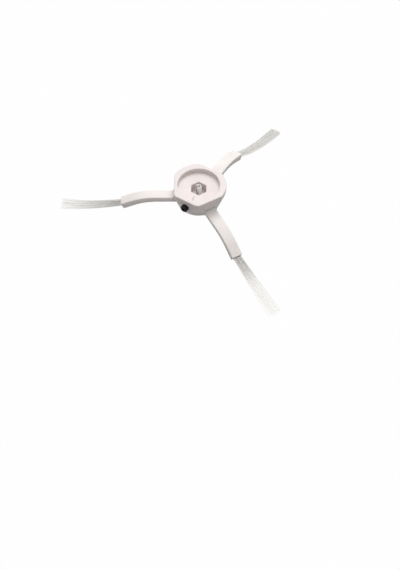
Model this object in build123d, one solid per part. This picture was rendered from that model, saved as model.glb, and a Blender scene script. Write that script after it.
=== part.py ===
"""Robot vacuum side brush: a rigid hub, three soft arms that droop outwards and a tuft of filaments in each arm.

The brush stands on its tufts with the drive socket up. Z = 0 is the hub's rim, and Z is the drive axis.
Millimetres and degrees. A side profile is drawn in X and Z, as radius and height, for an arm that points along X.
"""
from build123d import *
from math import cos, radians, sin, sqrt
import os

# Hub: rim, tapered body, low conical underside and the boss round the screw head
rim_radius = 14.0
rim_height = 2.6
body_radius = 11.2
body_depth = 11.2
boss_radius = 4.8
boss_height = 1.0
rim_edge_chamfer = 0.25
body_edge_chamfer = 0.7
boss_edge_chamfer = 0.5

# Drive interface in the top of the hub
recess_radius = 10.7
recess_depth = 3.0
recess_floor_chamfer = 0.4
socket_across_flats = 7.5
socket_floor_depth = 7.2
socket_corner_angle = 30.0
socket_lead_in = 0.3

# Flats on the side of the hub, given by their distance from the axis, and under the rim the pads that carry the
# arms. Each pad ends in a seat with the section of the arm's root.
arm_flat_distance = 12.4
pad_width = 7.6
pad_depth = 9.3
seat_length = 3.0
screw_flat_distance = 12.7

# Arms: a bar that leaves its pad level but rolled to one side, then bends down, rolls level and grows thicker
# towards its square-cut end
arm_angles = {"a": 180.0, "b": 300.0, "c": 60.0}
arm_root_width = 6.0
arm_end_width = 5.6
arm_top_depth = 7.7
arm_root_thickness = 2.75
arm_end_thickness = 3.8
arm_bend_start = 21.5
arm_bend_end = 34.7
arm_reach = 40.2
arm_end_slope = 25.5
arm_root_roll = 9.0
arm_edge_chamfer = 0.45
arm_root_fillet = 2.0
fillet_lip = 0.1
bend_sections = 4

# Key on the root of each arm, moulded into the hub
key_thickness = 1.7
key_neck_radius = 9.3
key_inner_radius = 7.5
key_neck_width = 4.4
key_width = 8.2

# Tufts: a plug of fused filaments in the arm's end, then a web that parts into strands
plug_width = 4.2
plug_thickness = 1.9
plug_length = 6.0
tuft_root_width = 4.2
tuft_tip_width = 6.6
tuft_tip_thickness = 1.1
tuft_knee_length = 8.0
tuft_knee_slope = 20.0
tuft_free_length = 26.6
tuft_tip_slope = 5.0
tuft_drift = {"a": -6.2, "b": 3.6, "c": -5.8}
strand_count = 13
strand_start = 9.0
strand_tip_gap = 0.17
strand_unevenness = 1.3
tip_wave_step = 2.4
tip_wave_start = 0.5

# Fixing screw, entered from the underside, with its thread end standing in the socket. The hub's hole fits its
# neck and is narrower than the thread, so the screw stays with the brush.
screw_radius = 1.5
screw_length = 8.0
screw_tip_chamfer = 0.4
screw_neck_radius = 1.2
screw_neck_clearance = 0.1
screw_neck_play = 0.2
screw_seat_depth = 8.9
screw_head_radius = 2.75
screw_head_height = 1.9
screw_head_chamfer = 0.4
screw_head_clearance = 0.3
cross_slot_length = 3.2
cross_slot_width = 0.8
cross_slot_depth = 1.1

# Clamp screw, radial, between two arms, with its head on a flat of the hub
clamp_angle = 240.0
clamp_axis_depth = 4.5
clamp_radius = 1.0
clamp_length = 8.0
clamp_head_radius = 1.9
clamp_head_height = 2.0
clamp_bore_clearance = 0.05
clamp_end_chamfer = 0.25
clamp_key_across_flats = 1.5
clamp_key_depth = 1.0

# How far a cutting block passes the surface that it cuts
cut_margin = 1.0

# Worked-out sizes
boss_depth = body_depth + boss_height
arm_bend_radius = (arm_bend_end - arm_bend_start) / sin(radians(arm_end_slope))
arm_end_straight = (arm_reach - arm_bend_end) / cos(radians(arm_end_slope))
hub_outside = rim_radius + cut_margin
max_drift = max(abs(drift) for drift in tuft_drift.values())


def down_slope(angle):
    """Unit direction in the side profile, outwards and down by the angle."""
    return Vector(cos(radians(angle)), -sin(radians(angle)))


def up_normal(angle):
    """Unit normal of that direction, on its upper side."""
    return Vector(sin(radians(angle)), cos(radians(angle)))


def side_face(edges):
    """Closed side profile, moved from the drawing plane to the X and Z plane."""
    return Plane.XZ * make_face(edges)


def at_angle(shape, angle):
    return Rot(0, 0, angle) * shape


def hexagon(across_flats, turn=0):
    """Hexagon face with a corner at this angle from X."""
    return RegularPolygon(across_flats / sqrt(3), 6, rotation=turn)


def rings(shape):
    """Circular edges, from the lowest up."""
    return shape.edges().filter_by(GeomType.CIRCLE).sort_by(Axis.Z)


# Upper middle line of an arm in the side profile
arm_level = Line((arm_flat_distance, -arm_top_depth), (arm_bend_start, -arm_top_depth))
arm_bend = JernArc(arm_level @ 1, (1, 0), arm_bend_radius, -arm_end_slope)
arm_straight = PolarLine(arm_bend @ 1, arm_end_straight, -arm_end_slope)
tuft_start = arm_straight @ 1 - up_normal(arm_end_slope) * (arm_end_thickness / 2)


def arm_share(radius):
    """0 where an arm leaves the hub, 1 at its end."""
    return (radius - arm_flat_distance) / (arm_reach - arm_flat_distance)


def arm_plane(line, place):
    """Plane across an arm at a place on its upper middle line. Its Y is up, rolled by what the arm has there."""
    point, along = line @ place, line % place
    roll = arm_root_roll * (1 - arm_share(point.X))
    across = Vector(0, 1, 0).rotate(Axis((0, 0, 0), (along.X, 0, along.Y)), roll)
    return Plane((point.X, 0, point.Y), x_dir=across, z_dir=(along.X, 0, along.Y))


def arm_section(line, place):
    """Section of an arm under that place: a bar with chamfered edges that narrows and thickens outwards."""
    share = arm_share((line @ place).X)
    width = arm_root_width + (arm_end_width - arm_root_width) * share
    thickness = arm_root_thickness + (arm_end_thickness - arm_root_thickness) * share
    bar = Rectangle(width, thickness, align=(Align.CENTER, Align.MAX))
    return arm_plane(line, place) * chamfer(bar.vertices(), arm_edge_chamfer)


def make_arm_key():
    """Tee-shaped root that locks an arm into the hub, rolled as the root is."""
    neck_length = arm_flat_distance - key_neck_radius
    head_length = key_neck_radius - key_inner_radius
    neck = Pos(0, 0, -neck_length / 2) * Box(key_neck_width, key_thickness, neck_length)
    head = Pos(0, 0, -neck_length - head_length / 2) * Box(key_width, key_thickness, head_length)
    return arm_plane(arm_level, 0) * Pos(0, -arm_root_thickness / 2, 0) * (neck + head)


def make_root_fillet():
    """Fillet in the corner between the top of an arm and its pad, rolled as the root is.

    It lies between the arm's chamfered edges, and ends in narrow lips.
    """
    root = arm_plane(arm_level, 0)
    side = Plane(root.origin, x_dir=root.z_dir, z_dir=-root.x_dir)
    waist = arm_root_fillet - (arm_root_fillet - fillet_lip) * sqrt(0.5)
    hollow = ThreePointArc((arm_root_fillet, fillet_lip), (waist, waist), (fillet_lip, arm_root_fillet))
    back = Polyline(
        hollow @ 1, (0, arm_root_fillet), (0, -arm_edge_chamfer), (arm_root_fillet, -arm_edge_chamfer), hollow @ 0,
    )
    profile = make_face([hollow, *back.edges()])
    return extrude(side * profile, arm_root_width / 2 - arm_edge_chamfer, both=True)


def make_tuft_plug():
    """Flat bar of fused filaments, in line with the end of the arm."""
    middle = tuft_start - down_slope(arm_end_slope) * (plug_length / 2)
    place = Pos(middle.X, 0, middle.Y) * Rot(0, arm_end_slope, 0)
    return place * Box(plug_length, plug_width, plug_thickness)


def make_arm():
    """Arm along X: a loft through its sections, with the fillet and the key at its root and a slot for the tuft."""
    sections = [arm_section(arm_level, place) for place in (0, 0.5)]
    sections += [arm_section(arm_bend, step / bend_sections) for step in range(bend_sections + 1)]
    sections.append(arm_section(arm_straight, 1))
    return loft(sections) + make_root_fillet() + make_arm_key() - make_tuft_plug()


def tuft_strip():
    """Side profile of the free filaments: two tangent arcs that level out towards the tips, thinning as they go."""
    slopes = [arm_end_slope, tuft_knee_slope, tuft_tip_slope]
    lengths = [tuft_knee_length, tuft_free_length]
    middles = [tuft_start]
    for length, slope, next_slope in zip(lengths, slopes, slopes[1:]):
        middles.append(middles[-1] + down_slope((slope + next_slope) / 2) * length)
    share = tuft_knee_length / (tuft_knee_length + tuft_free_length)
    knee_thickness = plug_thickness + (tuft_tip_thickness - plug_thickness) * share
    halves = [plug_thickness / 2, knee_thickness / 2, tuft_tip_thickness / 2]
    upper = [p + up_normal(a) * h for p, a, h in zip(middles, slopes, halves)]
    lower = [p - up_normal(a) * h for p, a, h in zip(middles, slopes, halves)]
    edges = []
    for chain in (upper, lower):
        first = TangentArc(chain[0], chain[1], tangent=down_slope(arm_end_slope))
        second = TangentArc(chain[1], chain[2], tangent=first % 1)
        edges += [first, second]
    edges += [Line(upper[0], lower[0]), Line(upper[2], lower[2])]
    strip = extrude(side_face(edges), tuft_tip_width + max_drift, both=True)
    return strip, middles[2].X


def tuft_plan(tip_radius, drift):
    """Plan of the fan: a web as wide as the plug, then tapered strands with uneven tips.

    The drift carries it sideways, in proportion to the distance from the arm.
    """
    root_radius = tuft_start.X - plug_thickness
    part_radius = tuft_start.X + strand_start
    part_share = strand_start / (tip_radius - tuft_start.X)
    part_width = tuft_root_width + (tuft_tip_width - tuft_root_width) * part_share
    part_y = drift * part_share
    web = Polygon(
        (root_radius, -tuft_root_width / 2), (part_radius, part_y - part_width / 2),
        (part_radius, part_y + part_width / 2), (root_radius, tuft_root_width / 2), align=None,
    )
    part_pitch = part_width / strand_count
    tip_pitch = tuft_tip_width / strand_count
    tip_half = (tip_pitch - strand_tip_gap) / 2
    strands = []
    for index in range(strand_count):
        place = index - (strand_count - 1) / 2
        tip = tip_radius - strand_unevenness * abs(sin(tip_wave_step * index + tip_wave_start))
        root_y = part_y + place * part_pitch
        tip_y = drift + place * tip_pitch
        strands.append(Polygon(
            (part_radius, root_y - part_pitch / 2), (tip, tip_y - tip_half),
            (tip, tip_y + tip_half), (part_radius, root_y + part_pitch / 2), align=None,
        ))
    return web + strands


def make_tuft(drift):
    strip, tip_radius = tuft_strip()
    depth = -tuft_start.Y + tip_radius
    fan = Pos(0, 0, -depth) * extrude(tuft_plan(tip_radius, drift), 2 * depth)
    return (strip & fan) + make_tuft_plug()


def make_hub():
    outline = Polyline(
        (0, 0), (rim_radius, 0), (rim_radius, -rim_height), (body_radius, -body_depth),
        (boss_radius, -boss_depth), (0, -boss_depth), close=True,
    )
    body = revolve(side_face(outline), Axis.Z)
    body = chamfer(rings(body)[0], boss_edge_chamfer)
    body = chamfer(rings(body).filter_by_position(Axis.Z, -body_depth, -body_depth), body_edge_chamfer)
    body = chamfer(rings(body)[-1], rim_edge_chamfer)
    for angle in arm_angles.values():
        body += at_angle(side_block(key_inner_radius, arm_flat_distance, pad_width, rim_height, pad_depth), angle)
        body += at_angle(extrude(arm_section(arm_level, 0), -seat_length), angle)
    recess = Pos(0, 0, -recess_depth) * extrude(Circle(recess_radius), recess_depth + cut_margin)
    recess = chamfer(rings(recess)[0], recess_floor_chamfer)
    body -= recess
    socket = hexagon(socket_across_flats, socket_corner_angle)
    socket = Pos(0, 0, -socket_floor_depth) * extrude(socket, socket_floor_depth - recess_depth)
    mouth = hexagon(socket_across_flats + 2 * socket_lead_in, socket_corner_angle)
    body -= socket
    body -= loft([
        Pos(0, 0, -recess_depth - socket_lead_in) * hexagon(socket_across_flats, socket_corner_angle),
        Pos(0, 0, -recess_depth) * mouth,
    ])
    for angle in arm_angles.values():
        body -= at_angle(outer_block(arm_flat_distance), angle)
        body -= at_angle(make_arm_key(), angle)
    body -= at_angle(outer_block(screw_flat_distance), clamp_angle)
    bore = extrude(Circle(clamp_radius + clamp_bore_clearance), hub_outside)
    body -= at_angle(Pos(0, 0, -clamp_axis_depth) * Rot(0, 90, 0) * bore, clamp_angle)
    screw_hole = Circle(screw_neck_radius + screw_neck_clearance)
    body -= Pos(0, 0, -boss_depth) * extrude(screw_hole, boss_depth - recess_depth)
    pocket_depth = boss_depth - screw_seat_depth
    counterbore = Circle(screw_head_radius + screw_head_clearance)
    body -= Pos(0, 0, -boss_depth - cut_margin) * extrude(counterbore, pocket_depth + cut_margin)
    return body


def side_block(inner, outer, width, top_depth, low_depth):
    """Block along X between two distances from the axis and two depths below the rim."""
    middle = Pos((inner + outer) / 2, 0, -(top_depth + low_depth) / 2)
    return middle * Box(outer - inner, width, low_depth - top_depth)


def outer_block(distance):
    """Block that cuts off all of the hub beyond this distance along X."""
    return side_block(distance, hub_outside, 2 * hub_outside, -cut_margin, boss_depth + cut_margin)


def make_fixing_screw():
    neck_length = screw_seat_depth - socket_floor_depth + screw_neck_play
    neck = extrude(Circle(screw_neck_radius), neck_length)
    thread = Pos(0, 0, neck_length) * extrude(Circle(screw_radius), screw_length - neck_length)
    thread = chamfer(rings(thread)[-1], screw_tip_chamfer)
    head = Pos(0, 0, -screw_head_height) * extrude(Circle(screw_head_radius), screw_head_height)
    head = chamfer(rings(head)[0], screw_head_chamfer)
    slot = Box(cross_slot_length, cross_slot_width, 2 * cross_slot_depth)
    cross = Pos(0, 0, -screw_head_height) * (slot + Rot(0, 0, 90) * slot)
    return Pos(0, 0, -screw_seat_depth) * (head + neck + thread - cross)


def make_clamp_screw():
    """Cap screw along X: its shank points inwards, its head sits on the flat, and its key socket is outside."""
    shank = Pos(0, 0, -clamp_length) * extrude(Circle(clamp_radius), clamp_length)
    shank = chamfer(rings(shank)[0], clamp_end_chamfer)
    head = extrude(Circle(clamp_head_radius), clamp_head_height)
    head = chamfer(rings(head)[-1], clamp_end_chamfer)
    key = hexagon(clamp_key_across_flats)
    head -= Pos(0, 0, clamp_head_height - clamp_key_depth) * extrude(key, clamp_key_depth)
    return Pos(screw_flat_distance, 0, -clamp_axis_depth) * Rot(0, 90, 0) * (shank + head)


nodes = {"hub": make_hub(), "fixing_screw": make_fixing_screw()}
nodes["clamp_screw"] = at_angle(make_clamp_screw(), clamp_angle)
arm = make_arm()
for letter, angle in arm_angles.items():
    nodes["flex_arm_" + letter] = at_angle(arm, angle)
    nodes["bristle_tuft_" + letter] = at_angle(make_tuft(tuft_drift[letter]), angle)

os.makedirs("parts", exist_ok=True)
for name, shape in nodes.items():
    export_step(shape, "parts/" + name + ".step")
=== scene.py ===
"""Looks of a robot vacuum side brush: moulded hub, soft arms, loose nylon filaments, two screws and a stage.

Every piece is a surface worked out on a grid, in metres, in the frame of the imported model: Z is the drive
axis, and Z = 0 is the hub's rim. A side profile is drawn for an arm along +X, as radius and height, and is
then turned.
"""

import math

import bpy
import numpy as np
from bpy.props import FloatProperty, FloatVectorProperty, PointerProperty
from mathutils import Matrix, Vector


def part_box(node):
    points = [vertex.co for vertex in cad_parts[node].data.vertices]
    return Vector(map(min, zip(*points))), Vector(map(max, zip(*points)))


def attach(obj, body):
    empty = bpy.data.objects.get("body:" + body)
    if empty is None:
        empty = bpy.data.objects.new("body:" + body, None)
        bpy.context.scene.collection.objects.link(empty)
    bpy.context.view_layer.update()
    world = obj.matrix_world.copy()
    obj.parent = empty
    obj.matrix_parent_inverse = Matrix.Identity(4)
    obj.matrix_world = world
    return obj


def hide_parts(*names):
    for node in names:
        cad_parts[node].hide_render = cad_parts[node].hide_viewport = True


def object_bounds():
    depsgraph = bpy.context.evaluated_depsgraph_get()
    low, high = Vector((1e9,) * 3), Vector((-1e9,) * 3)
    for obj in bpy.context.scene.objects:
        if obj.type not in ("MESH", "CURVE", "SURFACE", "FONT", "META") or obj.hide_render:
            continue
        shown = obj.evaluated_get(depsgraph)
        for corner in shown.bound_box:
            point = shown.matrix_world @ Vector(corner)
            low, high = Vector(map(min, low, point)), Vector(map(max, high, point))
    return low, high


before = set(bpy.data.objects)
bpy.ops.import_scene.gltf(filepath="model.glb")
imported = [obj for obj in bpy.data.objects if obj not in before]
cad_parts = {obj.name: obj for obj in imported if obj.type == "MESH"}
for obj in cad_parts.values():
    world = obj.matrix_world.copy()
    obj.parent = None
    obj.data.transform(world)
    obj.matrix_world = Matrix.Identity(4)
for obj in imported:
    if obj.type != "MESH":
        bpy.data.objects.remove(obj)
cad_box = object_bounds()
hub_low, hub_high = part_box("hub")

bl_info = {
    "name": "Robot vacuum side brush",
    "version": (1, 0, 0),
    "blender": (4, 5, 0),
    "location": "View3D > Sidebar > Side brush",
    "description": "Builds the hub, arms, bristle tufts and screws of a side brush, and its stage",
    "category": "Add Mesh",
}

TURN = 2 * math.pi
ARM_ANGLES = {"a": 180.0, "b": 300.0, "c": 60.0}
BODY = "root"
SHARP_DEGREES = 35
HUB_COLUMNS = 480
SCREW_COLUMNS = 96
CORNER_ROWS = 7

# Share of its outline at which the floor of a hollow in a screw ends in a flat cap
CAP_SHARE = 0.05

# How the filaments of each tuft lie: their number, added length, sideways drift and rounding of the tips in
# metres, the powers by which drift and width grow, the width of the tips as a share of the common one, splay,
# clumping and taper as shares, and the seed of the draw
TUFT_HABITS = {
    "a": dict(count=48, longer=0.0, drift=-0.0058, bow=0.9, fan=1.0, spread=1.0, splay=0.12,
              clumping=0.4, tip_round=0.0, taper=0.35, seed=11),
    "b": dict(count=54, longer=0.0007, drift=0.0029, bow=0.65, fan=0.8, spread=1.0, splay=0.16,
              clumping=0.45, tip_round=0.0003, taper=0.45, seed=23),
    "c": dict(count=45, longer=0.0012, drift=-0.0060, bow=0.75, fan=0.5, spread=0.9, splay=0.035,
              clumping=0.0, tip_round=0.0008, taper=-0.3, seed=67),
}

# How far the painted shade of each tuft's nylon is lifted at these shares of its length: 0 keeps the grey
# tint painted as the shade among close filaments, 1 is near white
UNSHADED_PLACES = (0.0, 0.2, 0.45, 1.0)
TUFT_UNSHADED_SHARE = {"a": (0.0, 0.0, 0.1, 0.62), "b": (0.0, 0.12, 0.76, 0.78), "c": (0.56, 0.5, 0.42, 0.38)}


# Settings


def number(name, description, default):
    """Plain number."""
    return FloatProperty(name=name, description=description, default=default, precision=3)


def length(name, description, default):
    """Length in metres."""
    return FloatProperty(name=name, description=description, default=default, unit="LENGTH", precision=5)


def angle(name, description, degrees):
    """Angle, given in degrees and kept in radians."""
    return FloatProperty(name=name, description=description, default=math.radians(degrees), subtype="ANGLE")


def colour(name, description, default):
    """Colour of a finish."""
    return FloatVectorProperty(name=name, description=description, default=default, subtype="COLOR",
                               min=0, max=1)


class HubSizes(bpy.types.PropertyGroup):
    """Sizes of the moulded hub."""
    rim_radius: length("Rim radius", "Outer radius of the rim", hub_high.y)
    rim_height: length("Rim height", "Height of the straight rim", 0.0026)
    body_radius: length("Body radius", "Radius at the foot of the tapered side", 0.0112)
    body_depth: length("Body depth", "Depth of the foot of the side below the rim", 0.0112)
    boss_radius: length("Boss radius", "Radius of the flat under the hub", 0.0048)
    boss_depth: length("Boss depth", "Depth of that flat below the rim", -hub_low.z)
    recess_radius: length("Recess radius", "Radius of the round recess", 0.0107)
    recess_depth: length("Recess depth", "Depth of the recess at the socket", 0.0030)
    recess_dish: length("Recess dish", "Rise of the dished recess floor towards its wall", 0.0005)
    socket_flats: length("Socket size", "Hexagon socket, across flats", 0.0075)
    socket_depth: length("Socket depth", "Depth of the socket's floor below the rim", 0.0072)
    arm_flat: length("Arm flat", "Distance of the flats over the arms from the axis", -hub_low.x)
    pad_width: length("Pad width", "Width of the pad under the rim that carries an arm", 0.0076)
    pad_depth: length("Pad depth", "Depth of the pad's foot below the rim", 0.0093)
    screw_flat: length("Screw flat", "Distance of the flat round the clamp screw from the axis", 0.0127)
    line_angle: angle("Weld line angle", "Direction of the fine line on the recess floor", 249.0)
    line_depth: length("Weld line depth", "Depth of that line", 0.00016)
    line_width: length("Weld line width", "Half width of that line", 0.00013)
    line_start: length("Weld line start", "Radius where that line starts", 0.0051)
    line_end: length("Weld line end", "Radius where that line ends", 0.0095)
    hole_edge: length("Hole edge", "Rounding of the lower edge of the screw hole", 0.0001)
    hole_mouth: length("Hole mouth", "Rounding of its upper edge", 0.00015)
    socket_corner: length("Socket corner", "Rounding between the socket's floor and wall", 0.0002)
    socket_mouth: length("Socket mouth", "Rounding of the socket's mouth", 0.00035)
    recess_corner: length("Recess corner", "Rounding between the recess's floor and wall", 0.0002)
    recess_mouth: length("Recess mouth", "Rounding of the rim's inner edge", 0.0003)
    rim_edge: length("Rim edge", "Rounding of the rim's outer edges", 0.0004)
    foot_edge: length("Foot edge", "Rounding of the foot of the side", 0.0007)
    boss_edge: length("Boss edge", "Rounding of the flat under the hub", 0.0006)
    counterbore_edge: length("Counterbore edge", "Rounding of the edges of the screw head's hole", 0.0002)


class ArmSizes(bpy.types.PropertyGroup):
    """Sizes of one soft arm."""
    root_width: length("Root width", "Width at the hub", 0.0060)
    end_width: length("End width", "Width at the square-cut end", 0.0056)
    top_depth: length("Top depth", "Depth of the arm's root below the rim", 0.0077)
    root_thickness: length("Root thickness", "Thickness at the hub", 0.00275)
    end_thickness: length("End thickness", "Thickness at the square-cut end", 0.0038)
    bend_start: length("Bend start", "Radius where the arm starts to droop", 0.0215)
    bend_end: length("Bend end", "Radius from which the arm is straight", 0.0347)
    reach: length("Reach", "Radius of the upper edge of the end", 0.0402)
    end_slope: angle("End slope", "Droop at the end", 25.5)
    root_roll: angle("Root roll", "Roll of the root to one side, which the arm loses on its way", 9.0)
    root_fillet: length("Root fillet", "Radius of the fillet between the arm's top and its pad", 0.0020)
    edge_radius: length("Edge radius", "Rounding of the long edges", 0.0005)
    end_edge: length("End edge", "Rounding of the edge of the end", 0.00035)
    seat: length("Seat", "Distance of the pad's face that the arm butts on", -hub_low.x)
    key_thickness: length("Key thickness", "Thickness of the key inside the hub", 0.0017)
    key_neck: length("Key neck", "Radius where the key's neck ends", 0.0093)
    key_inner: length("Key end", "Radius of the key's inner end", 0.0075)
    key_neck_width: length("Neck width", "Width of the key's neck", 0.0044)
    key_width: length("Key width", "Width of the key's head", 0.0082)
    key_edge: length("Key edge", "Rounding of the key's edges", 0.0001)
    slot_edge: length("Slot edge", "Rounding of the corners of the slot for the filaments", 0.00015)


class TuftSizes(bpy.types.PropertyGroup):
    """Sizes of a tuft of filaments."""
    filament_radius: length("Filament radius", "Radius of one filament", 0.00014)
    plug_width: length("Plug width", "Width of the tuft in the arm's end", 0.0042)
    plug_thickness: length("Plug thickness", "Thickness of the tuft in the arm's end", 0.0019)
    plug_length: length("Plug length", "How deep the filaments go into the arm", 0.0060)
    tip_width: length("Tip width", "Width of the fan at the tips", 0.0072)
    tip_thickness: length("Tip thickness", "Thickness of the fan at the tips", 0.0011)
    knee_length: length("Knee length", "Length over which the tuft eases its droop", 0.0080)
    free_length: length("Free length", "Length from there to the tips", 0.0266)
    knee_slope: angle("Knee slope", "Droop after the knee", 20.0)
    tip_slope: angle("Tip slope", "Droop at the tips", 5.0)
    unevenness: length("Unevenness", "Difference in length at the tips", 0.0013)


class ScrewSizes(bpy.types.PropertyGroup):
    """Sizes of the fixing screw and the clamp screw."""
    radius: length("Thread radius", "Outer radius of the fixing screw's thread", 0.0015)
    pitch: length("Pitch", "Pitch of that thread", 0.0005)
    thread_depth: length("Thread depth", "Depth of both threads", 0.00025)
    neck_radius: length("Neck radius", "Radius of the fixing screw's neck", 0.0012)
    neck_play: length("Neck play", "Clearance of the hub's hole round the neck", 0.0001)
    neck_end: length("Neck end", "Depth of the end of the neck", 0.0070)
    seat_depth: length("Seat depth", "Depth of the face under the screw head", 0.0089)
    tip_depth: length("Tip depth", "Depth of the end of the thread", 0.0009)
    cup_depth: length("Cup depth", "Depth of the hollow that rolling leaves in that end", 0.00055)
    cup_radius: length("Cup radius", "Radius of that hollow", 0.0007)
    flute_angle: angle("Flute angle", "Direction of the cutting flute at the end of the thread", 200.0)
    flute_twist: angle("Flute twist", "Turn of the flute along the thread", 32.0)
    flute_depth: length("Flute depth", "Depth of the flute", 0.0005)
    head_radius: length("Head radius", "Radius of the head", 0.00275)
    head_play: length("Head play", "Clearance of the hub's counterbore round the head", 0.0003)
    head_height: length("Head height", "Height of the head", 0.0019)
    cross_length: length("Cross length", "Length of the cross slot", 0.0032)
    cross_width: length("Cross width", "Width of the cross slot", 0.0008)
    cross_depth: length("Cross depth", "Depth of the cross slot", 0.0011)
    clamp_angle: angle("Clamp screw angle", "Direction of the clamp screw", 240.0)
    clamp_depth: length("Clamp screw depth", "Depth of its axis below the rim", 0.0045)
    clamp_radius: length("Clamp thread radius", "Outer radius of its thread", 0.0010)
    clamp_play: length("Clamp play", "Clearance of the hub's bore round its thread", 0.00005)
    clamp_pitch: length("Clamp pitch", "Pitch of its thread", 0.0004)
    clamp_inner: length("Clamp screw end", "Radius of its inner end", 0.0047)
    clamp_head_radius: length("Clamp head radius", "Radius of its head", 0.0019)
    clamp_head_height: length("Clamp head height", "Height of its head", 0.0020)
    clamp_key: length("Key size", "Its hexagon key, across flats", 0.0015)
    clamp_key_depth: length("Key depth", "Depth of that hexagon", 0.0010)


class Finishes(bpy.types.PropertyGroup):
    """Colours of the materials."""
    hub: colour("Hub", "Rigid plastic of the hub", (0.795, 0.722, 0.708))
    arm: colour("Arm", "Soft rubber of the arms", (0.888, 0.832, 0.802))
    nylon: colour("Nylon", "Filaments", (0.950, 0.940, 0.925))
    steel: colour("Steel", "Fixing screw", (0.800, 0.790, 0.775))
    black: colour("Black oxide", "Clamp screw", (0.006, 0.006, 0.007))
    floor: colour("Floor", "Floor of the stage", (0.330, 0.330, 0.330))


class StageSettings(bpy.types.PropertyGroup):
    """Camera and light."""
    azimuth: angle("Azimuth", "Turn of the camera about the drive axis", 1.25)
    elevation: angle("Elevation", "Height of the camera above the horizon", 49.5)
    distance: length("Distance", "Camera to the middle of the rim", 0.550)
    image_width: number("Image width", "Width of the picture in pixels", 400)
    image_height: number("Image height", "Height of the picture in pixels", 570)
    hub_x: number("Hub x", "Pixel column of the middle of the rim", 198.72)
    hub_y: number("Hub y", "Pixel row of the middle of the rim", 184.65)
    pixels_at_hub: number("Scale", "Pixels a metre at the hub", 1971.4)
    key_power: number("Key", "Power of the soft light above and behind, in watts", 3.85)
    key_size: length("Key size", "Width of that light", 0.6)
    key_place: FloatVectorProperty(name="Key place", description="Middle of that light",
                                   default=(0.07, 0.40, 0.635), subtype="TRANSLATION")
    world_strength: number("Fill", "Strength of the light from all round", 0.50)
    floor_half: length("Floor", "Half the width of the floor", 1.5)
    floor_gap: length("Floor gap", "Gap between the floor and the tips of the tufts", 0.0002)


class SideBrushSettings(bpy.types.PropertyGroup):
    """All settings of the side brush."""
    hub: PointerProperty(type=HubSizes)
    arm: PointerProperty(type=ArmSizes)
    tuft: PointerProperty(type=TuftSizes)
    screw: PointerProperty(type=ScrewSizes)
    finish: PointerProperty(type=Finishes)
    stage: PointerProperty(type=StageSettings)


# Grids of points


def smooth_step(value):
    """0 below 0 and 1 above 1, with a soft S between."""
    value = np.clip(value, 0, 1)
    return value * value * (3 - 2 * value)


def turned(points, degrees):
    """Points turned about Z."""
    turn = math.radians(degrees)
    spin = np.array([[math.cos(turn), math.sin(turn), 0], [-math.sin(turn), math.cos(turn), 0], [0, 0, 1]])
    return points @ spin


def rounded_rows(corners, spans, runs, closed):
    """Rows of a profile with rounded corners, for all columns at once.

    corners holds radius and height for each corner and column. A corner is a parabola that leaves the two
    straight runs at its span, or less where a run is short, and a corner with no span stays one row. runs
    holds the rows between each corner and the next.
    """
    most_share = 0.45
    least_size = 1e-12
    corner_steps = np.linspace(0, 1, CORNER_ROWS)[:, None, None]
    starts, ends, rows = [], [], []
    for index, (corner, span) in enumerate(zip(corners, spans)):
        before = corners[index - 1] - corner
        after = corners[(index + 1) % len(corners)] - corner
        size_before = np.linalg.norm(before, axis=-1, keepdims=True) + least_size
        size_after = np.linalg.norm(after, axis=-1, keepdims=True) + least_size
        starts.append(corner + before * np.minimum(span / size_before, most_share))
        ends.append(corner + after * np.minimum(span / size_after, most_share))
    for index, (corner, span) in enumerate(zip(corners, spans)):
        if span:
            bend = (1 - corner_steps) ** 2 * starts[index] + corner_steps ** 2 * ends[index]
            rows.append(bend + 2 * corner_steps * (1 - corner_steps) * corner)
        else:
            rows.append(corner[None])
        if closed or index + 1 < len(corners):
            following = (index + 1) % len(corners)
            run_steps = np.linspace(0, 1, runs[index] + 2)[1:-1, None, None]
            rows.append(ends[index] + run_steps * (starts[following] - ends[index]))
    return np.concatenate(rows)


def level(turn, radius, height):
    """One row of a profile: radius and height at each angle. Each is one number or one for each angle."""
    return np.stack([np.broadcast_to(radius, turn.shape), np.broadcast_to(height, turn.shape)], axis=-1)


def revolve(profile, turn):
    """Points of a profile, rows by columns of radius and height, with each column at its own angle."""
    radius = profile[..., 0]
    return np.stack([radius * np.cos(turn), radius * np.sin(turn), profile[..., 1]], axis=-1)


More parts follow.
